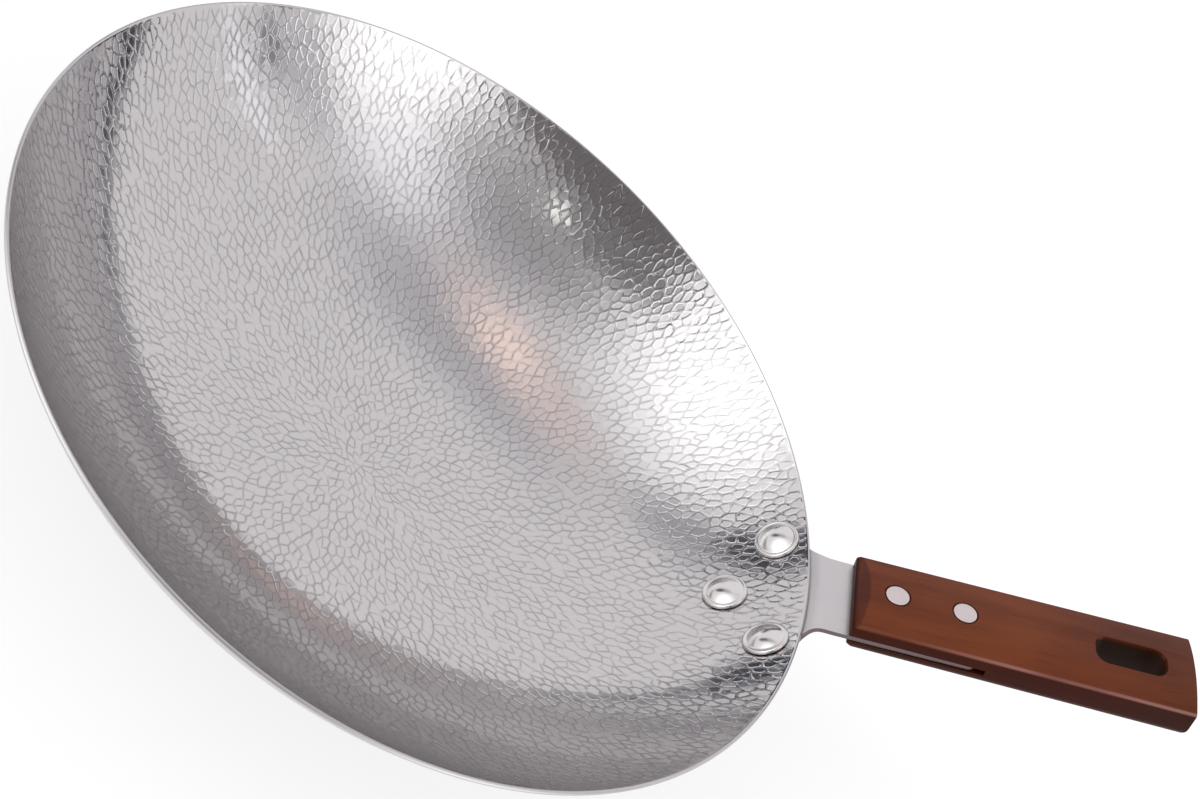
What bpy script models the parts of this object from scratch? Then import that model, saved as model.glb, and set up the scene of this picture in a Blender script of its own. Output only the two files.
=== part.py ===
"""A steel wok with a riveted handle bracket and a wooden handle.

Metres, +Z up. The origin is the centre of the flat underside, and the handle points along +X.
The handle's own frame starts where the bracket bends: x along the tang, y across it, z out of its top face.
"""

import math

import bmesh
import bpy
from mathutils import Matrix, Vector

GAP = 0.0003  # clearance between pieces that touch

# Bowl
RIM_RADIUS = 0.160  # inside, at the lip
BASE_RADIUS = 0.028  # the flat of the base
DEPTH = 0.0705  # from the lip to the inside of the base
SHEET = 0.0015
BOWL_STEPS = 80
WALL_STEPS = 14

# Bowl rivets
UPPER_RIVET_DROP = 0.0124  # along the wall, from the lip
UPPER_RIVET_SPREAD = 0.0255  # from the middle plane
LOWER_RIVET_DROP = 0.0319
DOME_RADIUS = 0.0087
DOME_HEIGHT = 0.0032
DOME_EDGE = 0.0009
BOWL_SHANK_RADIUS = 0.0030
TAIL_RADIUS = 0.0055
TAIL_HEIGHT = 0.0020
RIVET_STEPS = 36
DOME_STEPS = 6
TAIL_STEPS = 3
BORE_STEPS = 24

# Handle bracket
PLATE = 0.0020
PLATE_MARGIN = 0.0105  # from a rivet's centre to the plate's edge
BEND_RISE = 0.0037  # how far the plate runs past the lip before it bends
BEND_RADIUS = 0.0080
HANDLE_TILT = math.radians(25.2)  # the tang, from the horizontal
TANG_INSET = 0.00015  # from the wood's sides, at its front
TANG_PAST_RIVET = 0.0073  # from the rear rivet's centre to the tang's end
TANG_CORNER = 0.0030
NECK_FILLET = 0.0100
NECK_FLAT = 0.0039  # the stretch in front of the wood where the plate's curve has died out
PLATE_EDGE = 0.0003
PLATE_COLUMNS = 12
LONGEST_ROW = 0.0035

# Wooden handle
WOOD_FRONT = 0.0125  # from the bend
WOOD_LENGTH = 0.1302
WOOD_WIDTH_FRONT = 0.0363
WOOD_WIDTH_END = 0.0383
WOOD_ABOVE = 0.0084  # from the tang's top face to the top of the crown
WOOD_BELOW = 0.0060  # from the tang's underside to the bottom of the wood
CROWN = 0.0028
TOP_ROUND = 0.0024
BOTTOM_ROUND = 0.0048
FRONT_CHAMFER = 0.0044
END_ROUND = 0.0060
WOOD_EDGE = 0.0011
KERF_SPARE = 0.0032  # the saw kerf runs this far past the tang
SLOT_LENGTH = 0.0280
SLOT_WIDTH = 0.0130
SLOT_CORNER = 0.0052
SLOT_TO_END = 0.0107

# Handle rivets
RIVET_SETBACK = 0.0154  # from the front of the wood to the front rivet's centre
RIVET_PITCH = 0.0260
HEAD_RADIUS = 0.0045
HEAD_HEIGHT = 0.0011
HEAD_CROWN = 0.0003
HEAD_CLEARANCE = 0.0006  # round the head, in its counterbore
HANDLE_SHANK_RADIUS = 0.0025
HEAD_STEPS = 32

CUTTER_REACH = 0.01  # how far a cutter runs past what it cuts
TANGENT_OVERRUN = 0.00002  # how far a rounding cut runs past the face that it blends into

WALL_RUN = RIM_RADIUS - BASE_RADIUS
WALL_RADIUS = (WALL_RUN**2 + DEPTH**2) / (2 * DEPTH)  # one arc, from the flat base to the lip
LIP_SLOPE = math.asin(WALL_RUN / WALL_RADIUS)  # the wall at the lip, from the horizontal
PLATE_OFFSET = SHEET + GAP
BEND_ANGLE = LIP_SLOPE - HANDLE_TILT
BEND_LENGTH = BEND_RADIUS * BEND_ANGLE
BEND_TANGENT = BEND_RADIUS * math.tan(BEND_ANGLE / 2)
LIP_ALONG = BEND_TANGENT - BEND_LENGTH / 2 - BEND_RISE  # the lip, along the bracket from its bend
WOOD_BOTTOM = -PLATE - WOOD_BELOW
WOOD_END = WOOD_FRONT + WOOD_LENGTH
FRONT_RIVET = WOOD_FRONT + RIVET_SETBACK
REAR_RIVET = FRONT_RIVET + RIVET_PITCH
TANG_WIDTH = WOOD_WIDTH_FRONT - 2 * TANG_INSET
TANG_END = REAR_RIVET + TANG_PAST_RIVET
COUNTERBORE_RADIUS = HEAD_RADIUS + HEAD_CLEARANCE
COUNTERBORE_DEPTH = HEAD_HEIGHT + GAP


def remove_everything():
    for obj in list(bpy.data.objects):
        bpy.data.objects.remove(obj, do_unlink=True)


def new_collection(name, hidden=False):
    made = bpy.data.collections.new(name)
    made.hide_render = hidden
    bpy.context.scene.collection.children.link(made)
    return made


def material(name, colour, roughness, metallic):
    made = bpy.data.materials.new(name)
    made.use_nodes = True
    shader = made.node_tree.nodes["Principled BSDF"]
    shader.inputs["Base Color"].default_value = (*colour, 1.0)
    shader.inputs["Roughness"].default_value = roughness
    shader.inputs["Metallic"].default_value = metallic
    made.diffuse_color = (*colour, 1.0)
    return made


def add_object(name, mesh, place, collection):
    obj = bpy.data.objects.new(name, mesh)
    obj.matrix_world = place
    collection.objects.link(obj)
    return obj


def arc(centre, radius, start, end, steps):
    """Points on a circle between two angles, both ends included."""
    angles = [start + (end - start) * i / steps for i in range(steps + 1)]
    return [(centre[0] + radius * math.cos(a), centre[1] + radius * math.sin(a)) for a in angles]


def turned(name, profile, place, collection, steps):
    """A profile of (radius, height), from the top of its outer side down, turned about its own Z."""
    mesh = bpy.data.meshes.new(name)
    points = [(radius, 0.0, height) for radius, height in profile]
    mesh.from_pydata(points, [(i, i + 1) for i in range(len(points) - 1)], [])
    obj = add_object(name, mesh, place, collection)
    screw = obj.modifiers.new("Turn", "SCREW")
    screw.steps = steps
    screw.render_steps = steps
    screw.use_merge_vertices = True
    screw.merge_threshold = 0.00001
    screw.use_smooth_shade = True
    return obj


def prism(name, outline, thickness, place, collection):
    """A flat closed outline in local X and Y, made as thick as asked, half to each side."""
    curve = bpy.data.curves.new(name, "CURVE")
    curve.dimensions = "2D"
    curve.fill_mode = "BOTH"
    curve.extrude = thickness / 2
    spline = curve.splines.new("POLY")
    spline.points.add(len(outline) - 1)
    for point, (x, y) in zip(spline.points, outline):
        point.co = (x, y, 0.0, 1.0)
    spline.use_cyclic_u = True
    guide = add_object(name, curve, place, collection)
    bpy.context.view_layer.update()
    graph = bpy.context.evaluated_depsgraph_get()
    mesh = bpy.data.meshes.new_from_object(guide.evaluated_get(graph))
    bpy.data.objects.remove(guide, do_unlink=True)
    welded = bmesh.new()
    welded.from_mesh(mesh)
    bmesh.ops.remove_doubles(welded, verts=welded.verts, dist=0.00001)
    bmesh.ops.recalc_face_normals(welded, faces=welded.faces)
    welded.to_mesh(mesh)
    welded.free()
    mesh.name = name
    return add_object(name, mesh, place, collection)


def box(name, low, high, place, collection):
    """A box between two corners, in the frame that place gives."""
    middle = (Vector(low) + Vector(high)) / 2
    size = Vector(high) - Vector(low)
    shape = bmesh.new()
    bmesh.ops.create_cube(shape, size=1.0)
    bmesh.ops.scale(shape, vec=size, verts=shape.verts)
    mesh = bpy.data.meshes.new(name)
    shape.to_mesh(mesh)
    shape.free()
    return add_object(name, mesh, place @ Matrix.Translation(middle), collection)


def cut(obj, *cutters, operation="DIFFERENCE"):
    for cutter in cutters:
        boolean = obj.modifiers.new(cutter.name, "BOOLEAN")
        boolean.operation = operation
        boolean.object = cutter
        cutter.hide_render = True
        cutter.display_type = "WIRE"


def soften(obj, width, segments, limit):
    bevel = obj.modifiers.new("Soften", "BEVEL")
    bevel.width = width
    bevel.segments = segments
    bevel.limit_method = "ANGLE"
    bevel.angle_limit = math.radians(limit)
    bevel.use_clamp_overlap = True


def wall_slope(drop):
    """The wall's angle from the horizontal, this far down it from the lip."""
    return LIP_SLOPE - drop / WALL_RADIUS


def wall_point(drop, offset=0.0):
    """Radius and height on the wall's inner face, or on a face set out from it."""
    slope = wall_slope(drop)
    radius = WALL_RADIUS + offset
    return BASE_RADIUS + radius * math.sin(slope), SHEET + WALL_RADIUS - radius * math.cos(slope)


def bowl_side(offset):
    """The bowl's surface from the axis out to the lip, set out from the inner face by offset."""
    wall_length = WALL_RADIUS * LIP_SLOPE
    drops = [wall_length * (1 - i / WALL_STEPS) for i in range(WALL_STEPS + 1)]
    return [(0.0, SHEET - offset), *[wall_point(drop, offset) for drop in drops]]


def on_wall(drop, across):
    """A frame on the wall's inner face, with Z out of the wall into the bowl."""
    radius, height = wall_point(drop)
    azimuth = math.asin(across / radius)
    turn = Matrix.Rotation(azimuth, 4, "Z")
    lean = Matrix.Rotation(-wall_slope(drop), 4, "Y")
    return turn @ Matrix.Translation((radius, 0.0, height)) @ lean


def bend_apex():
    """Where the plate's inner face and the tang's top face would meet if the bend were sharp."""
    radius, height = wall_point(0.0, PLATE_OFFSET)
    return Vector((radius + BEND_RISE * math.cos(LIP_SLOPE), 0.0, height + BEND_RISE * math.sin(LIP_SLOPE)))


def handle_frame():
    return Matrix.Translation(bend_apex()) @ Matrix.Rotation(-HANDLE_TILT, 4, "Y")


def along_bracket(drop):
    """How far along the bracket a point of the wall lies, which its plate passes on a wider arc."""
    return LIP_ALONG - drop * (WALL_RADIUS + PLATE_OFFSET) / WALL_RADIUS


def strip_point(along):
    """The bracket's upper face in the middle plane, this far along it from the middle of its bend."""
    if along <= LIP_ALONG:
        drop = (LIP_ALONG - along) * WALL_RADIUS / (WALL_RADIUS + PLATE_OFFSET)
        radius, height = wall_point(drop, PLATE_OFFSET)
        return Vector((radius, 0.0, height))
    apex = bend_apex()
    wall = Vector((math.cos(LIP_SLOPE), 0.0, math.sin(LIP_SLOPE)))
    tang = Vector((math.cos(HANDLE_TILT), 0.0, math.sin(HANDLE_TILT)))
    half = BEND_LENGTH / 2
    if along <= -half:
        return apex + wall * (along + half - BEND_TANGENT)
    if along >= half:
        return apex + tang * (along - half + BEND_TANGENT)
    centre = apex - wall * BEND_TANGENT + BEND_RADIUS * Vector((wall.z, 0.0, -wall.x))
    angle = LIP_SLOPE - (along + half) / BEND_RADIUS
    return centre + BEND_RADIUS * Vector((-math.sin(angle), 0.0, math.cos(angle)))


def strip_curvature(along):
    """The plate wraps the bowl up to its lip, and the wrap dies out along the tang."""
    start, end = LIP_ALONG, WOOD_FRONT - NECK_FLAT
    share = min(max((along - start) / (end - start), 0.0), 1.0)
    fade = 1 - share * share * (3 - 2 * share)
    return fade / strip_point(min(along, 0.0)).x


def split_long(points, longest):
    """The same line with points added, so that no step along it is longer than asked."""
    result = [points[0]]
    for start, end in zip(points, points[1:]):
        pieces = max(1, math.ceil(math.dist(start, end) / longest))
        for i in range(1, pieces + 1):
            share = i / pieces
            result.append(tuple(a + (b - a) * share for a, b in zip(start, end)))
    return result


def bracket_outline():
    """The right half of the flattened bracket as (across, along), from its lower tip to the tang's end.

    Its rows of faces need some width, so the outline stops just short of the middle at both ends.
    """
    inner_radius, _ = wall_point(UPPER_RIVET_DROP)
    plate_radius, _ = wall_point(UPPER_RIVET_DROP, PLATE_OFFSET)
    spread = plate_radius * math.asin(UPPER_RIVET_SPREAD / inner_radius)
    upper = (spread, along_bracket(UPPER_RIVET_DROP))
    lower = (0.0, along_bracket(LOWER_RIVET_DROP))
    side = math.atan2(upper[1] - lower[1], upper[0]) - math.pi / 2
    half = TANG_WIDTH / 2
    reach = NECK_FILLET + PLATE_MARGIN
    fillet_x = half + NECK_FILLET
    fillet = (fillet_x, upper[1] + math.sqrt(reach**2 - (fillet_x - upper[0]) ** 2))
    lean = math.atan2(fillet[1] - upper[1], fillet[0] - upper[0])
    end_centre = (half - TANG_CORNER, TANG_END - TANG_CORNER)
    first = math.radians(-83)
    last = math.radians(84)
    points = arc(lower, PLATE_MARGIN, first, side, 5)
    points += arc(upper, PLATE_MARGIN, side, lean, 10)
    points += arc(fillet, NECK_FILLET, lean + math.pi, math.pi, 9)[1:]
    points += arc(end_centre, TANG_CORNER, 0.0, last, 4)
    return split_long(points, LONGEST_ROW)


def bracket_surface():
    """The bracket's upper face: one row of points for each point of its outline, bent to its place."""
    shape = bmesh.new()
    rows = []
    for half_width, along in bracket_outline():
        middle = strip_point(along)
        curvature = strip_curvature(along)
        row = []
        for column in range(PLATE_COLUMNS + 1):
            across = half_width * (2 * column / PLATE_COLUMNS - 1)
            if curvature > 0.001:
                sag = (1 - math.cos(curvature * across)) / curvature
                across = math.sin(curvature * across) / curvature
            else:
                sag = 0.0
            row.append(shape.verts.new(middle + Vector((-sag, across, 0.0))))
        rows.append(row)
    for row, following in zip(rows, rows[1:]):
        for i in range(PLATE_COLUMNS):
            shape.faces.new((row[i], following[i], following[i + 1], row[i + 1]))
    mesh = bpy.data.meshes.new("handle_bracket")
    shape.to_mesh(mesh)
    shape.free()
    return mesh


def wood_width(x):
    return WOOD_WIDTH_FRONT + (WOOD_WIDTH_END - WOOD_WIDTH_FRONT) * (x - WOOD_FRONT) / WOOD_LENGTH


def crown_height(across, half_width):
    return WOOD_ABOVE - CROWN * (across / half_width) ** 2


def wood_section():
    """The handle's cross-section at its front: crowned on top, with the lower edges rounded more."""
    half = WOOD_WIDTH_FRONT / 2
    slope = math.atan(2 * CROWN / half)
    edge = half - TOP_ROUND * (1 - math.sin(slope))
    drop = crown_height(edge, half) - TOP_ROUND * math.cos(slope)
    right = [(edge * i / 5, crown_height(edge * i / 5, half)) for i in range(5)]
    right += arc((half - TOP_ROUND, drop), TOP_ROUND, math.pi / 2 - slope, 0.0, 4)
    right += arc((half - BOTTOM_ROUND, WOOD_BOTTOM + BOTTOM_ROUND), BOTTOM_ROUND, 0.0, -math.pi / 2, 6)
    left = [(-x, y) for x, y in reversed(right) if x > 0]
    return right + left


def wood_side_outline():
    """The handle seen from the side: chamfered at the front, and rounded under its end."""
    low, high = WOOD_BOTTOM - CUTTER_REACH, WOOD_ABOVE + CUTTER_REACH
    run = FRONT_CHAMFER + CUTTER_REACH
    round_x, round_z = WOOD_END - END_ROUND, WOOD_BOTTOM + END_ROUND - TANGENT_OVERRUN
    return [
        (WOOD_FRONT, WOOD_ABOVE - FRONT_CHAMFER),
        (WOOD_FRONT, WOOD_BOTTOM + FRONT_CHAMFER),
        (WOOD_FRONT + run, low),
        (round_x, low),
        *arc((round_x, round_z), END_ROUND, -math.pi / 2, 0.0, 6),
        (WOOD_END, high),
        (WOOD_FRONT + run, high),
    ]


def rounded_rectangle(length, width, radius):
    radius = min(radius, width / 2 - GAP)
    x, y = length / 2 - radius, width / 2 - radius
    points = []
    for quarter, centre in enumerate(((x, y), (-x, y), (-x, -y), (x, -y))):
        start = quarter * math.pi / 2
        points += arc(centre, radius, start, start + math.pi / 2, 5)
    return points


def make_bowl(parts, holes):
    profile = bowl_side(0.0) + bowl_side(SHEET)[::-1]
    bowl = turned("wok_bowl", profile, Matrix(), parts, BOWL_STEPS)
    cut(bowl, *holes)
    return bowl


def make_bracket(parts, holes):
    mesh = bracket_surface()
    mesh.shade_smooth()
    bracket = add_object("handle_bracket", mesh, Matrix(), parts)
    solidify = bracket.modifiers.new("Thickness", "SOLIDIFY")
    solidify.thickness = PLATE
    solidify.offset = -1.0
    solidify.use_even_offset = True
    soften(bracket, PLATE_EDGE, 1, 60)
    cut(bracket, *holes)
    return bracket


def make_wood(parts, cutters, holes):
    """A long crowned bar, tapered in width, of which the side outline keeps the handle's length."""
    handle = handle_frame()
    section_frame = Matrix(((0, 0, 1, 0), (1, 0, 0, 0), (0, 1, 0, 0), (0, 0, 0, 1)))
    middle = Matrix.Translation(((WOOD_FRONT + WOOD_END) / 2, 0.0, 0.0))
    bar_length = WOOD_LENGTH + 2 * CUTTER_REACH
    wood = prism("wooden_handle", wood_section(), bar_length, handle @ middle @ section_frame, parts)
    for vertex in wood.data.vertices:
        x = (WOOD_FRONT + WOOD_END) / 2 + vertex.co.z
        vertex.co.x *= wood_width(x) / WOOD_WIDTH_FRONT
    wood.data.shade_smooth()
    across = Matrix.Rotation(math.pi / 2, 4, "X")
    widest = max(WOOD_WIDTH_FRONT, WOOD_WIDTH_END) + CUTTER_REACH
    side = prism("side_outline", wood_side_outline(), widest, handle @ across, cutters)
    slot_x = WOOD_END - SLOT_TO_END - SLOT_LENGTH / 2
    thickness = WOOD_ABOVE - WOOD_BOTTOM
    slot_place = handle @ Matrix.Translation((slot_x, 0.0, (WOOD_ABOVE + WOOD_BOTTOM) / 2))
    slot_outline = rounded_rectangle(SLOT_LENGTH, SLOT_WIDTH, SLOT_CORNER)
    slot = prism("hanging_slot", slot_outline, thickness + CUTTER_REACH, slot_place, cutters)
    kerf_low = (WOOD_FRONT - CUTTER_REACH, -widest / 2, -PLATE - GAP)
    kerf_high = (TANG_END + KERF_SPARE, widest / 2, GAP)
    kerf = box("kerf", kerf_low, kerf_high, handle, cutters)
    cut(wood, side, operation="INTERSECT")
    cut(wood, slot)
    soften(wood, WOOD_EDGE, 3, 40)
    cut(wood, kerf, *holes)
    return wood


def cap(base_radius, height, base_height, steps):
    """A shallow dome's outline from its top down to its base."""
    sphere = (base_radius**2 + height**2) / (2 * height)
    edge = math.atan2(sphere - height, base_radius)
    dome = arc((0.0, base_height + height - sphere), sphere, math.pi / 2, edge, steps)
    return [(0.0, dome[0][1]), *dome[1:]]


def dome_profile(seat):
    """A bowl rivet about its own Z, with the wall's inner face at zero height and its tail peened."""
    below = -(SHEET + GAP + PLATE + GAP)
    tail = cap(TAIL_RADIUS, TAIL_HEIGHT - DOME_EDGE, DOME_EDGE, TAIL_STEPS)
    return [
        *cap(DOME_RADIUS, DOME_HEIGHT, seat + DOME_EDGE, DOME_STEPS),
        (DOME_RADIUS - DOME_EDGE / 3, seat),
        (BOWL_SHANK_RADIUS, seat),
        (BOWL_SHANK_RADIUS, below),
        (TAIL_RADIUS, below),
        *[(radius, below - height) for radius, height in reversed(tail)],
    ]


def make_bowl_rivet(name, drop, across, parts):
    """The head's underside is flat, so it clears the hollow wall at its edge."""
    radius, _ = wall_point(drop)
    curvature = max(1 / WALL_RADIUS, math.sin(wall_slope(drop)) / radius)
    hollow = DOME_RADIUS**2 * curvature / 2
    return turned(name, dome_profile(GAP + hollow), on_wall(drop, across), parts, RIVET_STEPS)


def head_profile():
    """A handle rivet about the handle's Z, its heads level with the wood at both ends."""
    top, bottom = WOOD_ABOVE - HEAD_HEIGHT, WOOD_BOTTOM + HEAD_HEIGHT
    half = [
        *cap(HEAD_RADIUS - HEAD_CROWN, HEAD_CROWN, HEAD_HEIGHT, 2),
        (HEAD_RADIUS, HEAD_HEIGHT - HEAD_CROWN),
        (HEAD_RADIUS, 0.0),
        (HANDLE_SHANK_RADIUS, 0.0),
    ]
    return [(r, top + z) for r, z in half] + [(r, bottom - z) for r, z in reversed(half)]


def counterbore_profile():
    top, bottom = WOOD_ABOVE - COUNTERBORE_DEPTH, WOOD_BOTTOM + COUNTERBORE_DEPTH
    bore = HANDLE_SHANK_RADIUS + GAP
    return [
        (0.0, WOOD_ABOVE + CUTTER_REACH),
        (COUNTERBORE_RADIUS, WOOD_ABOVE + CUTTER_REACH),
        (COUNTERBORE_RADIUS, top),
        (bore, top),
        (bore, bottom),
        (COUNTERBORE_RADIUS, bottom),
        (COUNTERBORE_RADIUS, WOOD_BOTTOM - CUTTER_REACH),
        (0.0, WOOD_BOTTOM - CUTTER_REACH),
    ]


def paint(objects, look):
    for obj in objects:
        obj.data.materials.append(material(obj.name, *look))


def main():
    remove_everything()
    parts = new_collection("wok")
    cutters = new_collection("cutters", hidden=True)
    places = {
        "far": (UPPER_RIVET_DROP, UPPER_RIVET_SPREAD),
        "near": (UPPER_RIVET_DROP, -UPPER_RIVET_SPREAD),
        "low": (LOWER_RIVET_DROP, 0.0),
    }
    bore = BOWL_SHANK_RADIUS + GAP
    reach = [(0.0, CUTTER_REACH), (bore, CUTTER_REACH), (bore, -CUTTER_REACH), (0.0, -CUTTER_REACH)]
    wall_holes = []
    bowl_rivets = []
    for name, (drop, across) in places.items():
        wall_holes.append(turned(f"bore_{name}", reach, on_wall(drop, across), cutters, BORE_STEPS))
        bowl_rivets.append(make_bowl_rivet(f"bowl_rivet_{name}", drop, across, parts))
    handle_holes = []
    handle_rivets = []
    for name, x in (("front", FRONT_RIVET), ("rear", REAR_RIVET)):
        place = handle_frame() @ Matrix.Translation((x, 0.0, 0.0))
        handle_holes.append(turned(f"counterbore_{name}", counterbore_profile(), place, cutters, HEAD_STEPS))
        handle_rivets.append(turned(f"handle_rivet_{name}", head_profile(), place, parts, HEAD_STEPS))
    bowl = make_bowl(parts, wall_holes)
    bracket = make_bracket(parts, wall_holes + handle_holes)
    wood = make_wood(parts, cutters, handle_holes)
    paint([bowl], ((0.62, 0.60, 0.60), 0.16, 1.0))
    paint([bracket], ((0.60, 0.59, 0.59), 0.38, 1.0))
    paint(bowl_rivets, ((0.72, 0.70, 0.69), 0.12, 1.0))
    paint(handle_rivets, ((0.74, 0.70, 0.69), 0.35, 1.0))
    paint([wood], ((0.19, 0.045, 0.018), 0.28, 0.0))


main()
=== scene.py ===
"""The looks of the wok: bright embossed steel, a satin bracket, polished rivets and a varnished handle.

Metres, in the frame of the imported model: +Z up, the handle along +X, the origin in the middle of the base.
The inside of the bowl is drawn first on a flat disc, in polar form: s is the distance from the middle along
the steel, and every point is then bent to the bowl's profile.
"""

import math
import random
from collections import namedtuple

import bmesh
import bpy
import numpy as np
from mathutils import Matrix, Vector
from mathutils.geometry import delaunay_2d_cdt


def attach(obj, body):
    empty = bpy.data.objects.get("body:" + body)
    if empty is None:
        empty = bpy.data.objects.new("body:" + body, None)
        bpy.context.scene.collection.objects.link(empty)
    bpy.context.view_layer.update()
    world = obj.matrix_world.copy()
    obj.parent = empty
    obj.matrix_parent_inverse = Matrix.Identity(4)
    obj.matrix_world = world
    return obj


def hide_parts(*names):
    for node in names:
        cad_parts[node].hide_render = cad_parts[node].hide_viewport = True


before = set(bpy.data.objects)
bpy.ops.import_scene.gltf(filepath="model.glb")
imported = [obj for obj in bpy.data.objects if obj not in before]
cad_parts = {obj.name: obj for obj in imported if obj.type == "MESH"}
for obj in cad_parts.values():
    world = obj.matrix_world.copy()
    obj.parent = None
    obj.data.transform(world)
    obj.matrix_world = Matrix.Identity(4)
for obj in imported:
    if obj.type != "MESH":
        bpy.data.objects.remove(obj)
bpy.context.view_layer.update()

GAP = 0.0003

# Bowl
RIM_RADIUS = 0.160
BASE_RADIUS = 0.028
DEPTH = 0.0705
SHEET = 0.0015
LIP_ROUND = 0.0005
SHELL_RINGS = 22
BASE_RINGS = (0.9, 0.5, 0.2)  # of the base's radius

# Relief, drawn by chance from one seed
SEED = 11
CELLS = 6300
CROWDING = 0.55  # at 0.5 all cells are alike, and above it the middle ones are smaller
CELL_JITTER = 0.42  # of the spacing
CELL_STRETCH = 1.6  # cells are longer away from the middle than across
LIP_SPARE = 0.3  # of the spacing, between the last seed points and the lip
GHOST_REACH = 0.012  # seed points this near the lip are mirrored past it
SHORTEST_EDGE = 0.0005
TOO_CLOSE = 1e-9  # seed points nearer than this would be one
TINY = 1e-12  # keeps a length above zero where it divides
GROOVE_HALF = 0.00050
GROOVE_DEPTH = 0.00009
GROOVE_WAVE = 0.00024
GROOVE_SHARES = (0.7, 1.1)  # of the full depth
LIP_GROOVE = 0.6  # how much deeper the grooves are at the lip than in the middle
LIP_GROOVE_POWER = 4  # how late on the way out that comes
CROSS_GROOVE = 0.50  # share of depth left where a groove runs round the bowl, not outwards
FADED_SHARE = 0.14  # of the grooves are nearly filled
FADED_SHARES = (0.05, 0.4)  # of the depth they would have
PAD_DOME = -0.000005
PAD_TILT = 0.005
WIDEST_RIM = 0.42  # of the way from a corner to the middle of its pad
CORNER_PULL = 1.35  # pads have rounder corners than their cells

# Bowl rivets, each dropped from the lip along the wall's inner face
UPPER_RIVET_DROP = 0.0124
UPPER_RIVET_SPREAD = 0.0255
LOWER_RIVET_DROP = 0.0319
DOME_RADIUS = 0.0087
COLLAR_ROUND = 0.0009
COLLAR_RISE = 0.0004
COLLAR_FROM = math.radians(112)
COLLAR_TO = math.radians(-10)
CAP_RADIUS = 0.0069
CAP_BASE = 0.00118
CAP_HEIGHT = 0.0017
BOWL_SHANK_RADIUS = 0.0030
TAIL_RADIUS = 0.0055
TAIL_HEIGHT = 0.0020
TAIL_EDGE = 0.0009

# Handle bracket
PLATE = 0.0020
PLATE_MARGIN = 0.0105
BEND_RISE = 0.0037
BEND_RADIUS = 0.0080
HANDLE_TILT = math.radians(25.2)
TANG_INSET = 0.00015
TANG_PAST_RIVET = 0.0073
TANG_CORNER = 0.0030
NECK_FILLET = 0.0100
NECK_FLAT = 0.0039
PLATE_EDGE = 0.00035
PLATE_COLUMNS = 40
LONGEST_ROW = 0.0010
STRAIGHT = 0.001  # a curvature below this, in 1/m, is left out
# The outline stops short of the middle plane, where a row would have no width
TIP_FROM = math.radians(-87)
TANG_CORNER_TO = math.radians(86)

# Wooden handle
WOOD_FRONT = 0.0125
WOOD_LENGTH = 0.13015
WOOD_WIDTH_FRONT = 0.0363
WOOD_WIDTH_END = 0.0383
WOOD_ABOVE = 0.0084
WOOD_BELOW = 0.0060
CROWN = 0.0028
TOP_ROUND = 0.0016
BOTTOM_ROUND = 0.0048
FRONT_CHAMFER = 0.0044
END_ROUND = 0.0060
WOOD_EDGE = 0.0012
KERF_SPARE = 0.0032
SLOT_LENGTH = 0.0280
SLOT_WIDTH = 0.0130
SLOT_CORNER = 0.0052
SLOT_TO_END = 0.0107

# Handle rivets
RIVET_SETBACK = 0.0154
RIVET_PITCH = 0.0260
HEAD_RADIUS = 0.0045
HEAD_HEIGHT = 0.0011
HEAD_CROWN = 0.0003
HEAD_EDGE = 0.00024
HEAD_EDGE_FROM = math.radians(70)
HEAD_CLEARANCE = 0.0006
HANDLE_SHANK_RADIUS = 0.0025

# Camera, from the middle of the lip's circle
CAMERA_PLACE = Vector((-0.1422, -0.4651, 0.3944))
CAMERA_RIGHT = Vector((0.7914, 0.1544, 0.5914))
CAMERA_AHEAD = Vector((0.3019, 0.7425, -0.5979))
LENS_MM = 54.0
SENSOR_MM = 36.0
NEAREST_SEEN = 0.01

# Cutting and shading
CUTTER_REACH = 0.01  # how far a cutter stands out of what it cuts
TANGENT_OVERRUN = 0.00002
ROUND_STEPS = 96
CROWN_STEPS = 9
SHARP_TURN = 50  # degrees, above which shading breaks
WOOD_SHARP_TURN = 32
SHEET_BEVEL_FROM = 60  # degrees between faces, from which an edge is softened
WOOD_BEVEL_FROM = 40

# Worked out from the sizes above
WALL_RUN = RIM_RADIUS - BASE_RADIUS
WALL_RADIUS = (WALL_RUN**2 + DEPTH**2) / (2 * DEPTH)
LIP_SLOPE = math.asin(WALL_RUN / WALL_RADIUS)
LIP_HEIGHT = SHEET + DEPTH
WALL_LENGTH = WALL_RADIUS * LIP_SLOPE
STEEL_LENGTH = BASE_RADIUS + WALL_LENGTH
PLATE_OFFSET = SHEET + GAP
BEND_ANGLE = LIP_SLOPE - HANDLE_TILT
BEND_LENGTH = BEND_RADIUS * BEND_ANGLE
BEND_TANGENT = BEND_RADIUS * math.tan(BEND_ANGLE / 2)
LIP_ALONG = BEND_TANGENT - BEND_LENGTH / 2 - BEND_RISE
WOOD_BOTTOM = -PLATE - WOOD_BELOW
WOOD_END = WOOD_FRONT + WOOD_LENGTH
SLOT_MIDDLE = WOOD_END - SLOT_TO_END - SLOT_LENGTH / 2
FRONT_RIVET = WOOD_FRONT + RIVET_SETBACK
REAR_RIVET = FRONT_RIVET + RIVET_PITCH
TANG_WIDTH = WOOD_WIDTH_FRONT - 2 * TANG_INSET
TANG_END = REAR_RIVET + TANG_PAST_RIVET
COUNTERBORE_RADIUS = HEAD_RADIUS + HEAD_CLEARANCE
COUNTERBORE_DEPTH = HEAD_HEIGHT + GAP

# Finishes: colours are linear, lengths are metres, and a pair of tones is what a noise runs between
MOST = (0.3, 0.7)  # where most values of a noise lie

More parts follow.
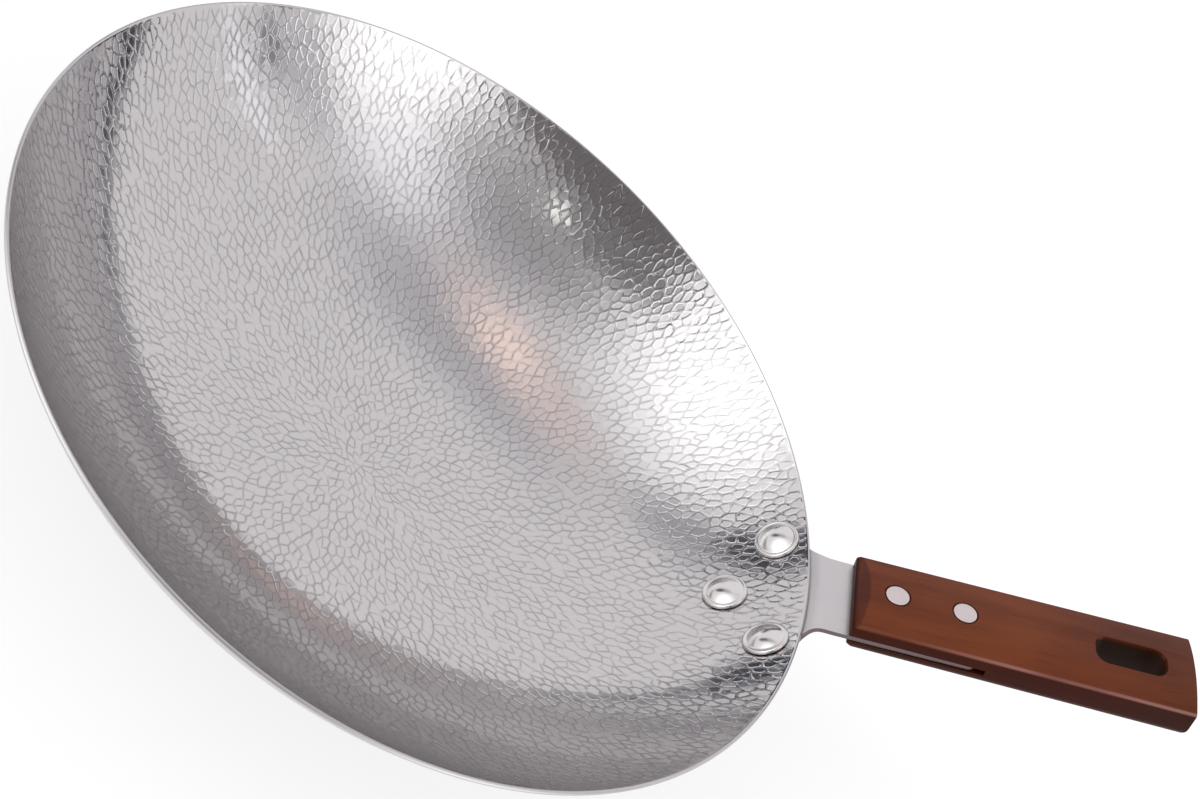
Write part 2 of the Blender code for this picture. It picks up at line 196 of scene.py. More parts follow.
BOWL_STEEL = ((0.585, 0.572, 0.575), (0.625, 0.608, 0.612))
BOWL_CLOUD = 0.035
BOWL_GRAIN = 0.0012
BOWL_GRAIN_DEPTH = 0.000004
BOWL_ROUGHNESS = (0.085, 0.115)
# Painted shade: the steel in the grooves is darkened towards this colour, as shade in the recesses
GROOVE_PAINTED_SHADE = (0.22, 0.21, 0.22)
GROOVE_SHADE_SHARE = 0.62
GROOVE_ROUGHNESS = 0.12  # more than on the pads
TURNED_STEEL = ((0.50, 0.49, 0.495), (0.64, 0.625, 0.63))
TURNING_PITCH = 0.0008
TURNED_ROUGHNESS = (0.13, 0.25)  # more than inside

BRACKET_STEEL = ((0.585, 0.567, 0.577), (0.62, 0.602, 0.61))
# Painted shade: the plate's cut edge is darkened all round, as shade where the tang's edge lies in the
# wood's kerf
BRACKET_EDGE_PAINTED_SHADE = (0.17, 0.13, 0.135)
BRACKET_CLOUD = 0.02
BRACKET_BRUSHING = 0.0004
BRACKET_BRUSHING_STRETCH = (20.0, 1.0, 20.0)
BRACKET_BRUSHING_DEPTH = 0.000006
BRACKET_ROUGHNESS = (0.34, 0.42)

DOME_STEEL = ((0.69, 0.67, 0.665), (0.75, 0.73, 0.72))
DOME_CLOUD = 0.004
DOME_DENTS = 0.002
DOME_ROUGHNESS = (0.13, 0.19)
HEAD_STEEL = ((0.60, 0.53, 0.535), (0.76, 0.68, 0.68))
HEAD_GRAIN = 0.0005
HEAD_ROUGHNESS = (0.34, 0.46)
RIVET_BUMP_DEPTH = 0.00001

WOOD_TONES = ((0.085, 0.014, 0.005), (0.160, 0.034, 0.009))
WOOD_FIGURE = 0.009
WOOD_FIGURE_STRETCH = (9.0, 1.0, 1.0)
WOOD_BLOTCH_TONE = (0.205, 0.052, 0.012)
WOOD_BLOTCH = 0.03
WOOD_BLOTCH_STRETCH = (1.6, 1.0, 1.0)
WOOD_BLOTCH_BAND = (0.35, 0.75)
WOOD_BLOTCH_STRENGTH = 0.5
WOOD_PORE_TONE = (0.04, 0.008, 0.004)
WOOD_PORE = 0.0006
WOOD_PORE_STRETCH = (26.0, 1.0, 1.0)
WOOD_PORE_BAND = (0.58, 0.72)
WOOD_PORE_STRENGTH = 0.4
WOOD_PORE_DEPTH = 0.00003
# Painted shade: the walls of the hanging slot are coloured near black, as the shade inside it
SLOT_PAINTED_SHADE = (0.034, 0.013, 0.006)
CHAMFER_SHADE = (0.62, 0.50, 0.52)
CHAMFER_BLEND = 0.0012
# Painted shade: the handle's flanks below the rounded top edge are darkened by this
FLANK_PAINTED_SHADE = (0.36, 0.24, 0.20)
FLANK_DULLNESS = 0.75
REAR_SHADE = (0.72, 0.72, 0.80)
REAR_SHADE_REACH = 0.045
# Painted highlight: a light pinkish band along the handle's rounded top edges
EDGE_HIGHLIGHT_TONE = (0.36, 0.18, 0.16)
EDGE_HIGHLIGHT_STRENGTH = 0.85
EDGE_HIGHLIGHT_BAND = (TOP_ROUND * 1.2, TOP_ROUND * 1.38)  # across and up from the rounding's middle, added
EDGE_HIGHLIGHT_BLOTCH = (0.3, 0.6)
EDGE_HIGHLIGHT_RUN = (WOOD_FRONT + 0.02, WOOD_FRONT + 0.06)  # the stretch where the painted highlight comes in
FAINTEST_EDGE_HIGHLIGHT = 0.15
VARNISH = 0.22
VARNISH_ROUGHNESS = 0.12
WOOD_ROUGHNESS = 0.5
WOOD_SPECULAR = 0.08

Light = namedtuple("Light", "azimuth elevation wide high soft colour")

WHITE = (1.0, 1.0, 1.0)
FLOOR_SIDE = 12.0
FLOOR_CORNER = 0.5
FLOOR_THICKNESS = 0.02
FLOOR_COLOUR = (0.42, 0.42, 0.42)
FLOOR_GLOW = 0.66  # only for what looks at the floor, straight or in a mirror
MIRROR_BOUNCES = 12  # the bowl mirrors itself many times near its lip
BASE_LIGHT = (0.95, 0.93, 0.945)
# What stands round the bowl, by compass angle from the handle and height, in degrees
SURROUNDINGS = (
    Light(72, -2, 46, 18.5, 0.08, (0.03, 0.035, 0.055)),
    Light(114, 4, 9, 6, 0.3, (0.04, 0.045, 0.07)),
    Light(31, 2, 6, 5, 0.3, (0.03, 0.035, 0.05)),
    Light(60, 80, 24, 12, 0.8, (0.62, 0.61, 0.645)),
    Light(-60, 70, 20, 14, 0.7, (0.66, 0.65, 0.68)),
    Light(-34, 50, 11, 17, 0.8, (1.35, 1.34, 1.38)),
    Light(-40, 30, 18, 14, 0.8, (1.9, 1.9, 1.9)),
    Light(-40, 26, 9, 7, 0.9, (2.4, 2.4, 2.4)),
    Light(-10, 32, 5, 14, 0.6, (0.70, 0.69, 0.72)),
    Light(-106, 58, 27, 16, 0.6, (0.49, 0.475, 0.49)),
    Light(-168, 42, 24, 20, 0.75, (1.75, 1.75, 1.75)),
    Light(-171, 36, 13, 12, 0.9, (2.2, 2.2, 2.2)),
    Light(-119, 48, 16, 9, 0.45, (0.27, 0.26, 0.27)),
    Light(-102.5, 37.5, 30.5, 9, 0.2, (0.21, 0.195, 0.205)),
    Light(140, 83, 8, 19, 0.6, (0.95, 0.83, 0.80)),
    Light(138, 86, 5, 6, 0.8, (1.36, 1.08, 0.99)),
    Light(-95, 54, 3, 3, 0.5, (1.6, 1.6, 1.5)),
    Light(-3, 24, 2.2, 7, 0.5, (0.26, 0.27, 0.30)),
    Light(6, 28, 2.2, 14, 0.5, (1.32, 1.31, 1.36)),
    Light(142, 38, 5.5, 14, 0.7, (0.46, 0.46, 0.49)),
    Light(145, 22, 5.5, 11, 0.4, (0.06, 0.06, 0.08)),
    Light(124, 4, 2, 2, 0.4, (1.8, 1.8, 1.8)),
)


def add_object(name, mesh, place=None):
    made = bpy.data.objects.new(name, mesh)
    bpy.context.scene.collection.objects.link(made)
    made.matrix_world = place or Matrix()
    return made


def settle(obj):
    """Applies the modifiers, so that the mesh is what is seen."""
    bpy.context.view_layer.update()
    graph = bpy.context.evaluated_depsgraph_get()
    mesh = bpy.data.meshes.new_from_object(obj.evaluated_get(graph))
    obj.modifiers.clear()
    obj.data = mesh
    return obj


def arc(centre, radius, start, end, steps):
    angles = [start + (end - start) * i / steps for i in range(steps + 1)]
    return [(centre[0] + radius * math.cos(a), centre[1] + radius * math.sin(a)) for a in angles]


def turned(name, profile, place):
    """A closed solid turned about its own Z from (radius, height) points, top of the outer side first."""
    shape = bmesh.new()
    rings = []
    for radius, height in profile:
        if radius == 0.0:
            rings.append([shape.verts.new((0.0, 0.0, height))])
            continue
        angles = [2 * math.pi * (i + 0.5) / ROUND_STEPS for i in range(ROUND_STEPS)]
        rings.append([shape.verts.new((radius * math.cos(a), radius * math.sin(a), height)) for a in angles])
    for upper, lower in zip(rings, rings[1:]):
        for i in range(ROUND_STEPS):
            j = (i + 1) % ROUND_STEPS
            if len(upper) == 1:
                shape.faces.new((upper[0], lower[i], lower[j]))
            elif len(lower) == 1:
                shape.faces.new((upper[i], lower[0], upper[j]))
            else:
                shape.faces.new((upper[i], lower[i], lower[j], upper[j]))
    mesh = bpy.data.meshes.new(name)
    shape.to_mesh(mesh)
    shape.free()
    mesh.shade_smooth()
    mesh.set_sharp_from_angle(angle=math.radians(SHARP_TURN))
    return add_object(name, mesh, place)


def prism(name, outline, thickness, place):
    """A flat closed outline in local X and Y, made as thick as asked, half to each side."""
    shape = bmesh.new()
    low = [shape.verts.new((x, y, -thickness / 2)) for x, y in outline]
    high = [shape.verts.new((x, y, thickness / 2)) for x, y in outline]
    shape.faces.new(reversed(low))
    shape.faces.new(high)
    for i in range(len(outline)):
        j = (i + 1) % len(outline)
        shape.faces.new((low[i], low[j], high[j], high[i]))
    bmesh.ops.recalc_face_normals(shape, faces=shape.faces)
    mesh = bpy.data.meshes.new(name)
    shape.to_mesh(mesh)
    shape.free()
    return add_object(name, mesh, place)


def cut(obj, cutters, operation="DIFFERENCE"):
    for cutter in cutters:
        boolean = obj.modifiers.new(cutter.name, "BOOLEAN")
        boolean.operation = operation
        boolean.object = cutter
        boolean.solver = "MANIFOLD"


def discard(objects):
    for obj in objects:
        bpy.data.objects.remove(obj, do_unlink=True)


def soften(obj, width, segments, limit):
    bevel = obj.modifiers.new("Soften", "BEVEL")
    bevel.width = width
    bevel.segments = segments
    bevel.limit_method = "ANGLE"
    bevel.angle_limit = math.radians(limit)


def dress(obj, node, look):
    """Gives a piece its finish and puts it in the place of its CAD node."""
    obj.data.materials.clear()
    obj.data.materials.append(look)
    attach(obj, "root")
    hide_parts(node)


def wall_slope(drop):
    return LIP_SLOPE - drop / WALL_RADIUS


def wall_point(drop, offset=0.0):
    slope = wall_slope(drop)
    radius = WALL_RADIUS + offset
    return BASE_RADIUS + radius * math.sin(slope), SHEET + WALL_RADIUS - radius * math.cos(slope)


def on_wall(drop, across):
    """A frame on the wall's inner face, with Z out of the wall into the bowl."""
    radius, height = wall_point(drop)
    turn = Matrix.Rotation(math.asin(across / radius), 4, "Z")
    lean = Matrix.Rotation(-wall_slope(drop), 4, "Y")
    return turn @ Matrix.Translation((radius, 0.0, height)) @ lean


def bend_apex():
    radius, height = wall_point(0.0, PLATE_OFFSET)
    return Vector((radius + BEND_RISE * math.cos(LIP_SLOPE), 0.0, height + BEND_RISE * math.sin(LIP_SLOPE)))


def handle_frame():
    return Matrix.Translation(bend_apex()) @ Matrix.Rotation(-HANDLE_TILT, 4, "Y")


def along_bracket(drop):
    """The place along the strip, from the middle of its bend, of a point this far below the lip."""
    return LIP_ALONG - drop * (WALL_RADIUS + PLATE_OFFSET) / WALL_RADIUS


def strip_point(along):
    """The bracket's upper face in the middle plane, this far along it from the middle of its bend."""
    if along <= LIP_ALONG:
        drop = (LIP_ALONG - along) * WALL_RADIUS / (WALL_RADIUS + PLATE_OFFSET)
        radius, height = wall_point(drop, PLATE_OFFSET)
        return Vector((radius, 0.0, height))
    apex = bend_apex()
    wall = Vector((math.cos(LIP_SLOPE), 0.0, math.sin(LIP_SLOPE)))
    tang = Vector((math.cos(HANDLE_TILT), 0.0, math.sin(HANDLE_TILT)))
    half = BEND_LENGTH / 2
    if along <= -half:
        return apex + wall * (along + half - BEND_TANGENT)
    if along >= half:
        return apex + tang * (along - half + BEND_TANGENT)
    centre = apex - wall * BEND_TANGENT + BEND_RADIUS * Vector((wall.z, 0.0, -wall.x))
    angle = LIP_SLOPE - (along + half) / BEND_RADIUS
    return centre + BEND_RADIUS * Vector((-math.sin(angle), 0.0, math.cos(angle)))


def strip_curvature(along):
    """How strongly the strip is curved across: as the bowl at the plate, and flat by the wood."""
    start, end = LIP_ALONG, WOOD_FRONT - NECK_FLAT
    share = min(max((along - start) / (end - start), 0.0), 1.0)
    fade = 1 - share * share * (3 - 2 * share)
    return fade / strip_point(min(along, 0.0)).x


def split_long(points, longest):
    result = [points[0]]
    for start, end in zip(points, points[1:]):
        pieces = max(1, math.ceil(math.dist(start, end) / longest))
        for i in range(1, pieces + 1):
            share = i / pieces
            result.append(tuple(a + (b - a) * share for a, b in zip(start, end)))
    return result


def bracket_outline():
    """The right half of the flattened bracket as (across, along), from its lower tip to the tang's end."""
    inner_radius, _ = wall_point(UPPER_RIVET_DROP)
    plate_radius, _ = wall_point(UPPER_RIVET_DROP, PLATE_OFFSET)
    spread = plate_radius * math.asin(UPPER_RIVET_SPREAD / inner_radius)
    upper = (spread, along_bracket(UPPER_RIVET_DROP))
    lower = (0.0, along_bracket(LOWER_RIVET_DROP))
    side = math.atan2(upper[1] - lower[1], upper[0]) - math.pi / 2
    half = TANG_WIDTH / 2
    reach = NECK_FILLET + PLATE_MARGIN
    fillet_x = half + NECK_FILLET
    fillet = (fillet_x, upper[1] + math.sqrt(reach**2 - (fillet_x - upper[0]) ** 2))
    lean = math.atan2(fillet[1] - upper[1], fillet[0] - upper[0])
    end_centre = (half - TANG_CORNER, TANG_END - TANG_CORNER)
    points = arc(lower, PLATE_MARGIN, TIP_FROM, side, steps=14)
    points += arc(upper, PLATE_MARGIN, side, lean, steps=26)
    points += arc(fillet, NECK_FILLET, lean + math.pi, math.pi, steps=20)[1:]
    points += arc(end_centre, TANG_CORNER, 0.0, TANG_CORNER_TO, steps=8)
    return split_long(points, LONGEST_ROW)


def bracket_surface():
    shape = bmesh.new()
    rows = []
    for half_width, along in bracket_outline():
        middle = strip_point(along)
        curvature = strip_curvature(along)
        row = []
        for column in range(PLATE_COLUMNS + 1):
            across = half_width * (2 * column / PLATE_COLUMNS - 1)
            sag = 0.0
            if curvature > STRAIGHT:
                sag = (1 - math.cos(curvature * across)) / curvature
                across = math.sin(curvature * across) / curvature
            row.append(shape.verts.new(middle + Vector((-sag, across, 0.0))))
        rows.append(row)
    for row, following in zip(rows, rows[1:]):
        for i in range(PLATE_COLUMNS):
            shape.faces.new((row[i], following[i], following[i + 1], row[i + 1]))
    mesh = bpy.data.meshes.new("bracket")
    shape.to_mesh(mesh)
    shape.free()
    return mesh


def crown_height(across, half_width):
    """The height of the handle's crowned top, which falls off as a parabola from its middle line."""
    return WOOD_ABOVE - CROWN * (across / half_width) ** 2


def wood_section():
    """The handle's cross-section at its front, as (across, height)."""
    half = WOOD_WIDTH_FRONT / 2
    slope = math.atan(2 * CROWN / half)
    edge = half - TOP_ROUND * (1 - math.sin(slope))
    drop = crown_height(edge, half) - TOP_ROUND * math.cos(slope)
    crown = [edge * i / CROWN_STEPS for i in range(CROWN_STEPS)]
    right = [(across, crown_height(across, half)) for across in crown]
    right += arc((half - TOP_ROUND, drop), TOP_ROUND, math.pi / 2 - slope, 0.0, steps=8)
    low_centre = (half - BOTTOM_ROUND, WOOD_BOTTOM + BOTTOM_ROUND)
    right += arc(low_centre, BOTTOM_ROUND, 0.0, -math.pi / 2, steps=12)
    left = [(-x, y) for x, y in reversed(right) if x > 0]
    return right + left


def wood_side_outline():
    """The handle's outline from the side, as (along, height). Above and below it reaches past the bar."""
    low, high = WOOD_BOTTOM - CUTTER_REACH, WOOD_ABOVE + CUTTER_REACH
    run = FRONT_CHAMFER + CUTTER_REACH
    round_x, round_z = WOOD_END - END_ROUND, WOOD_BOTTOM + END_ROUND - TANGENT_OVERRUN
    return [
        (WOOD_FRONT, WOOD_ABOVE - FRONT_CHAMFER),
        (WOOD_FRONT, WOOD_BOTTOM + FRONT_CHAMFER),
        (WOOD_FRONT + run, low),
        (round_x, low),
        *arc((round_x, round_z), END_ROUND, -math.pi / 2, 0.0, steps=14),
        (WOOD_END, high),
        (WOOD_FRONT + run, high),
    ]


def rounded_rectangle(length, width, radius):
    x, y = length / 2 - radius, width / 2 - radius
    points = []
    for quarter, centre in enumerate(((x, y), (-x, y), (-x, -y), (x, -y))):
        start = quarter * math.pi / 2
        points += arc(centre, radius, start, start + math.pi / 2, steps=10)
    return points


def cap(base_radius, height, base_height, steps):
    """A shallow dome's outline from its top down to its base."""
    sphere = (base_radius**2 + height**2) / (2 * height)
    edge = math.atan2(sphere - height, base_radius)
    dome = arc((0.0, base_height + height - sphere), sphere, math.pi / 2, edge, steps)
    return [(0.0, dome[0][1]), *dome[1:]]


def dome_profile(seat):
    """A bowl rivet: a low cap inside a rounded collar, a shank, and a peened tail outside the plate."""
    below = -(SHEET + GAP + PLATE + GAP)
    tail = cap(TAIL_RADIUS, TAIL_HEIGHT - TAIL_EDGE, TAIL_EDGE, steps=10)
    collar = (DOME_RADIUS - COLLAR_ROUND, seat + COLLAR_RISE)
    return [
        *cap(CAP_RADIUS, CAP_HEIGHT, seat + CAP_BASE, steps=16),
        *arc(collar, COLLAR_ROUND, COLLAR_FROM, COLLAR_TO, steps=12),
        (DOME_RADIUS - COLLAR_RISE, seat),
        (BOWL_SHANK_RADIUS, seat),
        (BOWL_SHANK_RADIUS, below),
        (TAIL_RADIUS, below),
        *[(radius, below - height) for radius, height in reversed(tail)],
    ]


def head_profile():
    """A handle rivet: a low crowned head at each end of a straight shank."""
    top, bottom = WOOD_ABOVE - HEAD_HEIGHT, WOOD_BOTTOM + HEAD_HEIGHT
    half = [
        *cap(HEAD_RADIUS - HEAD_EDGE, HEAD_CROWN, HEAD_HEIGHT, steps=8),
        *arc((HEAD_RADIUS - HEAD_EDGE, HEAD_HEIGHT - HEAD_EDGE), HEAD_EDGE, HEAD_EDGE_FROM, 0.0, steps=4),
        (HEAD_RADIUS, 0.0),
        (HANDLE_SHANK_RADIUS, 0.0),
    ]
    return [(r, top + z) for r, z in half] + [(r, bottom - z) for r, z in reversed(half)]


def counterbore_profile():
    top, bottom = WOOD_ABOVE - COUNTERBORE_DEPTH, WOOD_BOTTOM + COUNTERBORE_DEPTH
    bore = HANDLE_SHANK_RADIUS + GAP
    return [
        (0.0, WOOD_ABOVE + CUTTER_REACH),
        (COUNTERBORE_RADIUS, WOOD_ABOVE + CUTTER_REACH),
        (COUNTERBORE_RADIUS, top),
        (bore, top),
        (bore, bottom),
        (COUNTERBORE_RADIUS, bottom),
        (COUNTERBORE_RADIUS, WOOD_BOTTOM - CUTTER_REACH),
        (0.0, WOOD_BOTTOM - CUTTER_REACH),
    ]


def bend_to_bowl(points):
    """Points (x, y, height) on the flat disc of steel, brought to the bowl's inner face."""
    flat = np.array(points)
    s = np.hypot(flat[:, 0], flat[:, 1])
    angle = np.arctan2(flat[:, 1], flat[:, 0])
    slope = np.maximum(s - BASE_RADIUS, 0.0) / WALL_RADIUS
    radius = np.minimum(s, BASE_RADIUS) + WALL_RADIUS * np.sin(slope) - flat[:, 2] * np.sin(slope)
    height = SHEET + WALL_RADIUS * (1 - np.cos(slope)) + flat[:, 2] * np.cos(slope)
    return np.column_stack((radius * np.cos(angle), radius * np.sin(angle), height))


def polar(s, angle):
    return np.array((s * math.cos(angle), s * math.sin(angle)))


def stretched(point, length, power):
    """Moves a point of the disc along its ray, so that a Voronoi drawing there has longer cells."""
    s = math.hypot(*point)
    return np.array(point) * ((s / length) ** (power - 1) if s > 0 else 0.0)


def relief_sites(chance, length):
    """Seed points in a sunflower spiral, with some disorder, and their mirror images past the lip."""
    turn = math.pi * (3 - math.sqrt(5))
    inside, ghosts = [], []
    for n in range(CELLS):
        share = (n + 0.5) / CELLS
        spacing = length * math.sqrt(2 * math.pi * CROWDING * share ** (2 * CROWDING - 1) / CELLS)
        spiral = polar(length * share**CROWDING, n * turn)
        stray = polar(CELL_JITTER * spacing * math.sqrt(chance.random()), chance.uniform(0, 2 * math.pi))
        s = min(math.hypot(*(spiral + stray)), length - spacing * LIP_SPARE)
        angle = math.atan2(*(spiral + stray)[::-1])
        drawn = stretched(polar(s, angle), length, 1 / CELL_STRETCH)
        inside.append(drawn)
        if s > length - GHOST_REACH:
            ghosts.append(drawn * (2 * length / math.hypot(*drawn) - 1))
    return inside, ghosts


def circumcentres(sites, triangles):
    a, b, c = (np.array([sites[triangle[k]] for triangle in triangles]) for k in range(3))
    u, v = b - a, c - a
    area = 2 * (u[:, 0] * v[:, 1] - u[:, 1] * v[:, 0])
    uu, vv = (u**2).sum(1), (v**2).sum(1)
    return a + np.column_stack((v[:, 1] * uu - u[:, 1] * vv, u[:, 0] * vv - v[:, 0] * uu)) / area[:, None]


def relief_corners(inside, ghosts, length):
    """Where the cells' Voronoi corners are, which of them lie on the lip, and each cell's ring of them."""
    sites = inside + ghosts
    _, _, triangles, origins, _, _ = delaunay_2d_cdt([Vector(p) for p in sites], [], [], 0, TOO_CLOSE)
    source = [found[0] for found in origins]
    triangles = [tuple(source[v] for v in triangle) for triangle in triangles]
    centres = circumcentres(sites, triangles)
    at_lip = [max(triangle) >= len(inside) for triangle in triangles]
    places = []
    for centre, edge in zip(centres, at_lip):
        place = stretched(centre, length, CELL_STRETCH)
        places.append(place * (length / math.hypot(*place)) if edge else place)

    # Corners so near each other that the edge between them is too short become one
    leader = list(range(len(triangles)))

    def lead(i):
        while leader[i] != i:
            i = leader[i]
        return i

    across = {}
    for i, triangle in enumerate(triangles):
        for k in range(3):
            side = frozenset((triangle[k], triangle[k - 1]))
            other = across.setdefault(side, i)
            if other != i and math.dist(places[i], places[other]) < SHORTEST_EDGE:
                one, two = sorted((lead(i), lead(other)), key=lambda t: not at_lip[t])
                leader[two] = one
    rings = [[] for _ in inside]
    for i, triangle in enumerate(triangles):
        for site in triangle:
            if site < len(inside):
                rings[site].append(i)
    cells = []
    for site, ring in enumerate(rings):
        middle = inside[site]
        ring.sort(key=lambda t: math.atan2(centres[t][1] - middle[1], centres[t][0] - middle[0]))
        corners = [lead(t) for t in ring]
        cells.append([t for k, t in enumerate(corners) if t != corners[k - 1]])
    return places, at_lip, [cell for cell in cells if len(cell) > 2]


def relief_edges(places, cells, chance):
    """For each edge between two corners: its middle, its share of groove depth, and if it is on the lip."""
    uses = {}
    for cell in cells:
        for k, corner in enumerate(cell):
            side = frozenset((cell[k - 1], corner))
            uses[side] = uses.get(side, 0) + 1
    edges = {}
    for side, count in uses.items():
        start, end = (places[corner] for corner in side)
        middle, run = (start + end) / 2, end - start
        if count == 1:
            edges[side] = (middle * (math.hypot(*start) / math.hypot(*middle)), 0.0, True)
            continue
        outward = abs(run @ middle) / (math.hypot(*run) * math.hypot(*middle) + TINY)
        share = chance.uniform(*GROOVE_SHARES) * (CROSS_GROOVE + (1 - CROSS_GROOVE) * outward)
        if chance.random() < FADED_SHARE:
            share *= chance.uniform(*FADED_SHARES)
        sideways = np.array((-run[1], run[0])) / (math.hypot(*run) + TINY)
        edges[side] = (middle + sideways * chance.uniform(-1, 1) * GROOVE_WAVE, share, False)
    return edges


class Drawing:
    """Points on the flat disc as (x, y, height), each with a share of groove depth and a mark
    for a pad's rim, and the triangles between them."""

    def __init__(self):
        self.points = []
        self.groove = []
        self.rim = []
        self.faces = []

    def add(self, place, height, groove=0.0, rim=False):
        self.points.append((place[0], place[1], height))
        self.groove.append(groove)
        self.rim.append(rim)
        return len(self.points) - 1


def groove_height(place, share, length):
    """Against the pads' rims. Grooves grow deeper towards the lip, mostly near it."""
    outward = math.hypot(*place) / length
    return -GROOVE_DEPTH * share * (1 + LIP_GROOVE * outward**LIP_GROOVE_POWER)


def rim_pulls(cell, places, centre):
    """For each corner of a cell, how far towards the cell's middle the pad's own corner lies, as a share."""
    reach = []
    for k, corner in enumerate(cell):
        run, inward = places[corner] - places[cell[k - 1]], centre - places[corner]
        reach.append(abs(run[0] * inward[1] - run[1] * inward[0]) / math.hypot(*run))
    pulls = []
    for k in range(len(cell)):
        narrow = min(reach[k], reach[(k + 1) % len(cell)])
        pulls.append(min(CORNER_PULL * GROOVE_HALF / narrow, WIDEST_RIM))
    return pulls


def draw_relief(length):
    """Pads between grooves, up to the lip's rounding, and the points round the lip in order."""
    chance = random.Random(SEED)
    inside, ghosts = relief_sites(chance, length)
    places, at_lip, cells = relief_corners(inside, ghosts, length)
    edges = relief_edges(places, cells, chance)
    meeting = {}
    for side, (_, share, _) in edges.items():
        for corner in side:
            meeting.setdefault(corner, []).append(share)
    drawing = Drawing()
    corner_at, middle_at = {}, {}
    for corner, shares in meeting.items():
        share = 0.0 if at_lip[corner] else sum(shares) / len(shares)
        corner_at[corner] = drawing.add(places[corner], groove_height(places[corner], share, length), share)
    for side, (middle, share, _) in edges.items():
        middle_at[side] = drawing.add(middle, groove_height(middle, share, length), share)
    for cell in cells:
        centre = sum(places[corner] for corner in cell) / len(cell)
        tilt = np.array((chance.gauss(0, PAD_TILT), chance.gauss(0, PAD_TILT)))
        rim = []
        for corner, pull in zip(cell, rim_pulls(cell, places, centre)):
            spot = places[corner] + (centre - places[corner]) * pull
            rim.append(drawing.add(spot, tilt @ (spot - centre), rim=True))
        top = drawing.add(centre, PAD_DOME)
        for k, corner in enumerate(cell):
            before = cell[k - 1]
            middle = middle_at[frozenset((before, corner))]
            drawing.faces += [
                (corner_at[before], middle, rim[k - 1]),
                (middle, rim[k], rim[k - 1]),
                (middle, corner_at[corner], rim[k]),
                (rim[k - 1], rim[k], top),
            ]
    lip = {corner_at[corner] for side, edge in edges.items() if edge[2] for corner in side}
    lip |= {middle_at[side] for side, edge in edges.items() if edge[2]}
    return drawing, sorted(lip, key=lambda v: math.atan2(drawing.points[v][1], drawing.points[v][0]))


def add_shell(drawing, lip):
    """The lip's cut edge and the smooth outer face, with the same columns as the relief has at the lip."""
    angles = [math.atan2(drawing.points[v][1], drawing.points[v][0]) for v in lip]
    corner = arc((0, 0), LIP_ROUND, math.pi / 2, 0, steps=4)
    edge = [(STEEL_LENGTH - LIP_ROUND + x, y - LIP_ROUND) for x, y in corner]
    profile = edge[1:] + [(s, -SHEET - height) for s, height in reversed(edge)]
    start = profile[-1][0]
    wall = start - BASE_RADIUS
    profile += [(start - wall * i / SHELL_RINGS, -SHEET) for i in range(1, SHELL_RINGS + 1)]
    profile += [(BASE_RADIUS * share, -SHEET) for share in BASE_RINGS]
    previous = lip
    for s, height in profile:
        ring = [drawing.add(polar(s, angle), height) for angle in angles]
        for k in range(len(ring)):
            one, two = k - 1, k
            drawing.faces += [
                (previous[one], ring[one], ring[two]),
                (previous[one], ring[two], previous[two]),
            ]
        previous = ring
    bottom = drawing.add((0.0, 0.0), -SHEET)
    drawing.faces += [(previous[k - 1], bottom, previous[k]) for k in range(len(previous))]


def make_bowl():
    drawing, lip = draw_relief(STEEL_LENGTH - LIP_ROUND)
    inner_count = len(drawing.points)
    add_shell(drawing, lip)
    mesh = bpy.data.meshes.new("bowl")
    mesh.from_pydata(bend_to_bowl(drawing.points).tolist(), [], drawing.faces)
    mesh.shade_smooth()
    rim = np.array(drawing.rim)
    ends = np.zeros(len(mesh.edges) * 2, np.int32)
    mesh.edges.foreach_get("vertices", ends)
    sharp = mesh.attributes.new("sharp_edge", "BOOLEAN", "EDGE")
    sharp.data.foreach_set("value", rim[ends].reshape(-1, 2).all(1))
    groove = mesh.attributes.new("groove", "FLOAT", "POINT")
    groove.data.foreach_set("value", np.array(drawing.groove, np.float32))
    inner = mesh.attributes.new("inside", "FLOAT", "POINT")
    inner.data.foreach_set("value", (np.arange(len(drawing.points)) < inner_count).astype(np.float32))
    return add_object("embossed_bowl", mesh)


def make_bracket():
    bracket = add_object("stamped_bracket", bracket_surface())
    solidify = bracket.modifiers.new("Thickness", "SOLIDIFY")
    solidify.thickness = PLATE
    solidify.offset = -1.0
    solidify.use_even_offset = True
    solidify.material_offset_rim = 1  # the cut edge takes the second of two empty material slots
    bracket.data.materials.append(None)
    bracket.data.materials.append(None)
    soften(bracket, PLATE_EDGE, segments=3, limit=SHEET_BEVEL_FROM)
    settle(bracket)
    cut_edge = bracket.data.attributes.new("cut_edge", "FLOAT", "FACE")
    for polygon in bracket.data.polygons:
        cut_edge.data[polygon.index].value = polygon.material_index
        polygon.material_index = 0
    bracket.data.shade_smooth()
    bracket.data.set_sharp_from_angle(angle=math.radians(SHARP_TURN))
    return bracket


